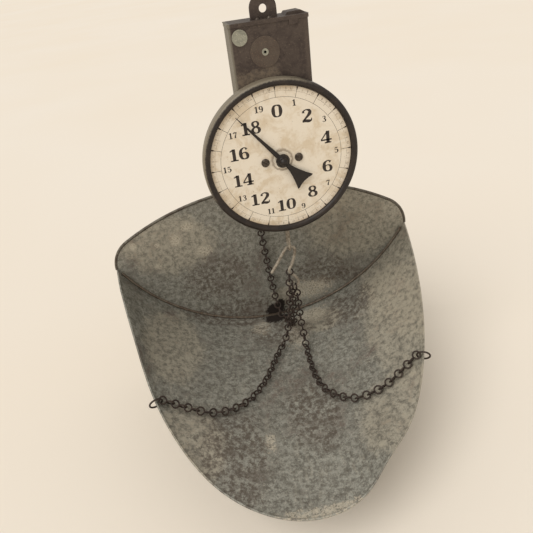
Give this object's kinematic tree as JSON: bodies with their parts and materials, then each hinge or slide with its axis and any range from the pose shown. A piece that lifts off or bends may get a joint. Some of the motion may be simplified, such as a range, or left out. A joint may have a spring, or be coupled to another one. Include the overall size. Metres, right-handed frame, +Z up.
{
  "type": "hanging scale",
  "caption": "Hanging spring scale with a round dial, a sheet steel case and a scoop on chains; the load draws a rack down and turns the pointer.",
  "frame": {"origin": "centre of the round eye in the hanger plate at the top", "axes": "+Z up, -Y towards the side with the dial and the scoop's lip, +X to the right of someone who reads the dial"},
  "size_m": [0.3553, 0.3134, 0.3798],
  "materials": {
    "case_paint": "worn dark brown enamel over steel",
    "bezel_paint": "dark brown baked enamel, worn",
    "dial_enamel": "cream enamel with dark marks, aged",
    "pointer_black": "black stove paint",
    "pale_seal": "grey-green paint",
    "brown_disc": "rusty brown",
    "plain_steel": "dull bare steel",
    "dark_screw": "darkened steel",
    "spring_steel": "oiled spring steel",
    "movement_brass": "dull brass",
    "hook_wire": "worn drawn steel wire",
    "rusty_chain": "dark rust brown",
    "scoop_sheet": "grey-green tinned sheet with brown stains",
    "scoop_edge": "folded tinned sheet, stained",
    "solder": "dull solder with rust"
  },
  "bodies": {
    "case": {"hanger_plate": "case_paint", "hanger_pin": "plain_steel", "top_rivets": "dark_screw", "case_cap": "case_paint", "case_body": "case_paint", "case_bottom": "case_paint", "back_cover": "case_paint", "cover_screws": "dark_screw", "seal_disc": "pale_seal", "cover_disc": "brown_disc", "disc_eyelet": "movement_brass", "dial_pan": "bezel_paint", "bezel_ring": "bezel_paint", "dial_plate": "dial_enamel", "dial_spacers": "movement_brass", "dial_screws": "dark_screw", "front_bearing": "movement_brass", "movement_bridge": "movement_brass", "spring_bar": "plain_steel", "guide_tube": "movement_brass", "spring_left": "spring_steel", "spring_right": "spring_steel"},
    "pointer": {"pointer_arbor": "plain_steel", "pinion": "movement_brass", "pointer": "pointer_black", "pointer_hub": "pointer_black"},
    "load_bar": {"spring_yoke": "plain_steel", "rack_bar": "plain_steel", "load_link": "hook_wire"},
    "scoop": {"s_hook": "hook_wire", "chain_left": "rusty_chain", "chain_right": "rusty_chain", "chain_rear": "rusty_chain", "rim_rings": "rusty_chain", "scoop_trough": "scoop_sheet", "scoop_back": "scoop_sheet", "rim_hem": "scoop_edge", "back_edge_wire": "scoop_edge", "seam_bead": "solder"}
  },
  "joints": [
    {"name": "load_slide", "type": "slide", "parent": "case", "child": "load_bar", "axis": [0, 0, -1], "range_m": [0, 0.0275], "stiffness_N_per_m": 3540, "springref_m": -0.00313, "deforming": ["spring_left", "spring_right"]},
    {"name": "pointer_spin", "type": "hinge", "parent": "case", "child": "pointer", "pos_m": [-0.001, 0, -0.1315], "axis": [0, 1, 0], "range_deg": [-1, 395]},
    {"name": "hook_swing", "type": "hinge", "parent": "load_bar", "child": "scoop", "pos_m": [0, 0, -0.23765], "axis": [1, 0, 0], "range_deg": [-14, 5]}
  ],
  "couplings": [
    {"joint": "pointer_spin", "follows": "load_slide", "rad_per_m": 250}
  ]
}
